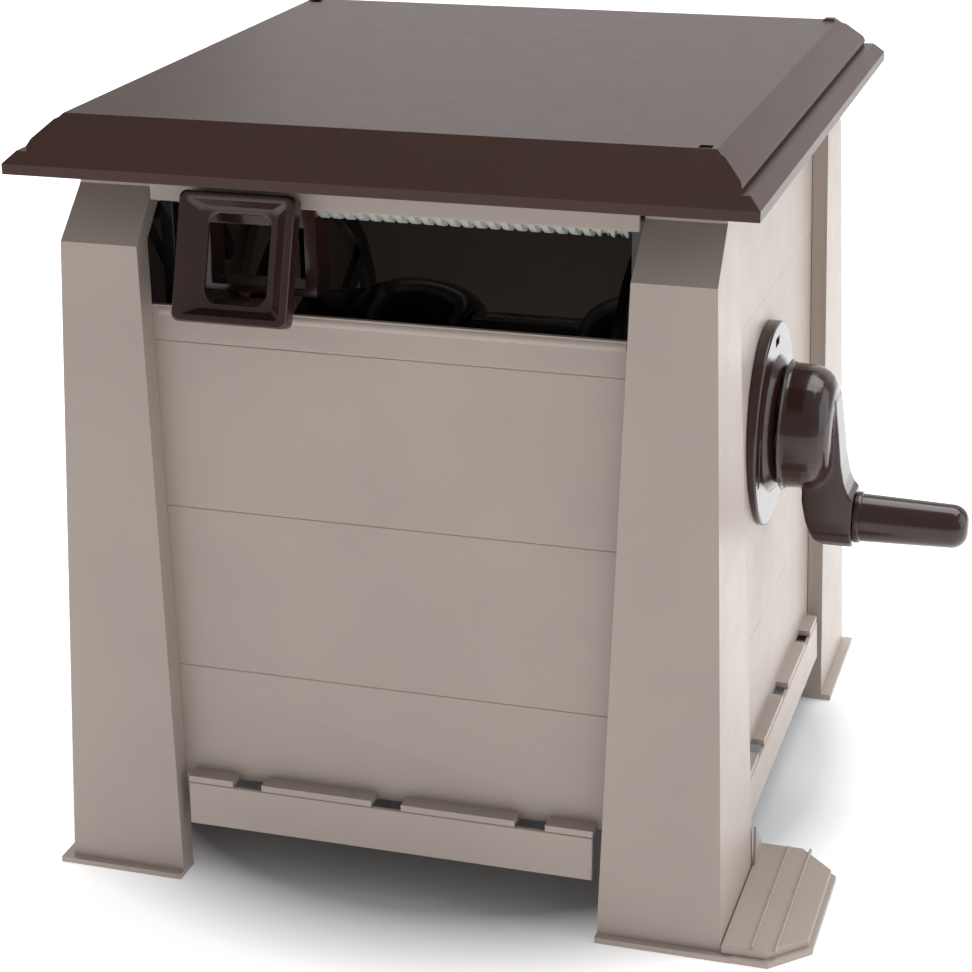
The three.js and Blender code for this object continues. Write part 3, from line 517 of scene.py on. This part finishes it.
def crank_arm():
    """The moulded crank: its cap, arm and boss flow into each other."""
    mesh = to_mesh("crank_arm_moulded", cad_faces("crank_arm"))
    obj = piece("crank_arm_moulded", mesh, "brown_plastic", "crank_arm")
    flow = obj.modifiers.new("flow", "REMESH")
    flow.mode = "VOXEL"
    flow.voxel_size = 0.9 * MM
    flow.use_smooth_shade = True
    soften = obj.modifiers.new("soften", "CORRECTIVE_SMOOTH")
    soften.use_only_smooth = True
    soften.iterations = 10
    soften.factor = 0.5
    return obj


crank_arm()


def crank_grip():
    """The turned handle: a shoulder at the root, a slight taper and a rounded end."""
    low, high = BOX["crank_grip"]
    length = (high.x - low.x) / MM
    root = (high.y - low.y) / MM / 2
    tip = root - 3.6
    gap, end_wall, nose_radius = 0.4, 7.0, 14.0
    pin = (BOX["grip_pin"][1].y - BOX["grip_pin"][0].y) / MM / 2 + gap
    quarter = arc(nose_radius, nose_radius, 0, 90, 12)
    nose = [(tip - nose_radius + y, length - nose_radius + x) for x, y in quarter][::-1]
    profile = [
        (0, length - end_wall),
        (pin, length - end_wall),
        (pin, 0),
        (root - 1.4, 0),
        (root - 0.4, 0.5),
        (root, 1.6),
        (root, 4.6),
        (root - 0.4, 5.6),
        (root - 1.6, 6.2),
        *nose,
        (0, length),
    ]
    bm = bmesh.new()
    turned(bm, profile, 96)
    placed(bm, (low.x, GRIP_AXIS.y, GRIP_AXIS.z))
    mesh = to_mesh("crank_grip_turned", bm)
    shade(mesh)
    return piece("crank_grip_turned", mesh, "brown_plastic", "crank_grip")


crank_grip()


# ------------------------------------------------------------------ traverse screw
def traverse_screw():
    """A bar with a square helical groove, crossed near its ends by a groove of the other hand."""
    low, high = BOX["traverse_screw"]
    radius = (high.y - low.y) / MM / 2
    journal = 5.0
    pitch = 10.8
    groove = 4.4
    flank = 0.9
    depth = 3.0
    half = 185.0
    stub = 41.0
    crossing = 2.2 * pitch
    rounds = 64
    step = 0.6
    bm = bmesh.new()

    def notch(phase):
        """How deep the groove is, from its phase in turns."""
        off = abs((phase + 0.5) % 1.0 - 0.5) * pitch
        return depth * min(1.0, max(0.0, (groove / 2 + flank / 2 - off) / flank))

    def loop(x, end_radius=None):
        points = []
        for i in range(rounds):
            turn = i / rounds
            cut = notch(x / pitch - turn)
            if abs(x) > half - crossing:
                cut = max(cut, notch(x / pitch + turn))
            r = end_radius or radius - cut
            angle = math.tau * turn
            points.append((half + stub + x, r * math.cos(angle), r * math.sin(angle)))
        return points

    count = round(2 * half / step)
    thread = [loop(-half + 2 * half * i / count) for i in range(count + 1)]
    tail_end = (high.x - low.x) / MM - half - stub
    head = [loop(-half - stub, journal), loop(-half, journal)]
    tail = [loop(half, journal), loop(tail_end, journal)]
    loft(bm, head + thread + tail)
    placed(bm, (low.x, SCREW_AXIS.y, SCREW_AXIS.z))
    mesh = to_mesh("traverse_screw_thread", bm)
    shade(mesh, 40)
    return piece("traverse_screw_thread", mesh, "grey_plastic", "traverse_screw")


traverse_screw()


# ------------------------------------------------------------------ hose guide
rounded("guide_carriage", "brown_plastic", 0.8)
rounded("guide_pawl", "brass", 0.4)


def rounded_loop(width, height, radius, depth, steps=10):
    """A rectangle with round corners, facing -Y at a depth behind its front."""
    corners = ((1, 1, 0), (-1, 1, 90), (-1, -1, 180), (1, -1, 270))
    points = []
    for side, level, start in corners:
        for x, z in arc(radius, radius, start, start + 90, steps):
            points.append((side * (width / 2 - radius) + x, depth, level * (height / 2 - radius) + z))
    return points


def hose_guide():
    """A tilted frame whose raised rim falls away towards the hose's hole."""
    width, height, depth, tilt = 97.5, 103.0, 13.0, 18.0
    hole_width, hole_height = 52.0, 70.0
    forward, down = 64.5, 29.7
    foot = (-34, -71, -77.3), (34, -24.4, -72.8)
    loops = [
        rounded_loop(width, height, 6, depth),
        rounded_loop(width, height, 6, 2.6),
        rounded_loop(width - 0.7, height - 0.7, 5.7, 1.0),
        rounded_loop(width - 2.4, height - 2.4, 5.2, 0.1),
        rounded_loop(width - 5, height - 5, 5, 0),
        rounded_loop(width - 12, height - 11, 4, 0.2),
        rounded_loop(width - 15, height - 13, 4, 1.2),
        rounded_loop(hole_width + 14, hole_height + 11, 6, 8.2),
        rounded_loop(hole_width + 12, hole_height + 9, 6.5, 9.0),
        rounded_loop(hole_width + 4, hole_height + 4, 9, 9.8),
        rounded_loop(hole_width + 1.4, hole_height + 1.4, 9.5, 10.2),
        rounded_loop(hole_width, hole_height, 10, 11.2),
        rounded_loop(hole_width, hole_height, 10, depth),
    ]
    bm = bmesh.new()
    loft(bm, loops, ring=True)
    bmesh.ops.rotate(bm, verts=bm.verts, matrix=Matrix.Rotation(math.radians(-tilt), 3, "X"))
    placed(bm, (0, -forward * MM, -down * MM))
    box(bm, *foot)
    placed(bm, (middle("hose_guide").x, SCREW_AXIS.y, SCREW_AXIS.z))
    mesh = to_mesh("hose_guide_frame", bm)
    shade(mesh, 40)
    return piece("hose_guide_frame", mesh, "brown_plastic", "hose_guide")


hose_guide()


# ------------------------------------------------------------------ floor, light and camera
def area_light(name, place, target, size, watts, color=(1, 1, 1)):
    """A rectangular light that faces a target."""
    data = bpy.data.lights.new(name, "AREA")
    data.shape = "RECTANGLE"
    data.size, data.size_y = size
    data.energy = watts
    data.color = color
    obj = bpy.data.objects.new(name, data)
    bpy.context.scene.collection.objects.link(obj)
    obj.location = place
    obj.rotation_euler = (Vector(target) - Vector(place)).to_track_quat("-Z", "Y").to_euler()


def pale_floor():
    """A pale floor that glows softly, except under the cabinet."""
    nodes = Nodes("pale_floor")
    dust = nodes.spread(nodes.noise(6.0, 4.0), 0.0, 1.0)
    base = nodes.blend(dust, (0.83, 0.83, 0.83), (0.86, 0.86, 0.86))
    nodes.link(base, nodes.shader.inputs["Base Color"])
    nodes.set(Roughness=0.8, Emission_Color=(1, 0.99, 0.99, 1))
    off_centre = nodes.add("ShaderNodeVectorMath", operation="LENGTH")
    nodes.link(nodes.place, off_centre.inputs[0])
    glow = nodes.spread(off_centre.outputs["Value"], 0.0, 0.62, start=0.31, end=0.42)
    nodes.link(glow, nodes.shader.inputs["Emission Strength"])
    bm = bmesh.new()
    bmesh.ops.create_grid(bm, x_segments=1, y_segments=1, size=60)
    mesh = bpy.data.meshes.new("floor")
    bm.to_mesh(mesh)
    bm.free()
    mesh.materials.append(nodes.material)
    floor = bpy.data.objects.new("floor", mesh)
    bpy.context.scene.collection.objects.link(floor)
    floor.location = (middle("lid_shell").x, middle("lid_shell").y, -0.0005)


def studio_lights():
    """A key light from the right, a backdrop light behind, one overhead and a soft surround."""
    area_light("key_right", (3.2, 0.4, 1.5), (0, 0, 0.4), (3.0, 2.6), 40, (0.83, 0.93, 1.0))
    area_light("backdrop", (0.4, 5.0, 2.0), (0, 0, 0.6), (6.0, 3.0), 24, (1.0, 0.99, 0.97))
    area_light("overhead", (0.3, 1.6, 4.2), (0, 0.6, 0), (5.0, 3.0), 190)
    world = bpy.data.worlds.new("studio")
    bpy.context.scene.world = world
    world.use_nodes = True
    background = world.node_tree.nodes["Background"]
    background.inputs["Color"].default_value = (1.0, 1.0, 1.02, 1)
    background.inputs["Strength"].default_value = 0.38


def camera():
    """Looks down at the front and the crank side."""
    data = bpy.data.cameras.new("camera")
    data.lens = 87.44
    data.sensor_width = 36.0
    data.shift_x = 0.0031
    obj = bpy.data.objects.new("camera", data)
    bpy.context.scene.collection.objects.link(obj)
    turn = Matrix.Rotation(math.radians(17.31), 4, "Z")
    tilt = Matrix.Rotation(math.radians(90 - 21.10), 4, "X")
    roll = Matrix.Rotation(math.radians(-0.73), 4, "Z")
    obj.matrix_world = Matrix.Translation((0.5275, -1.9301, 1.0419)) @ turn @ tilt @ roll
    bpy.context.scene.camera = obj
    bpy.context.scene.view_settings.view_transform = "Standard"


pale_floor()
studio_lights()
camera()
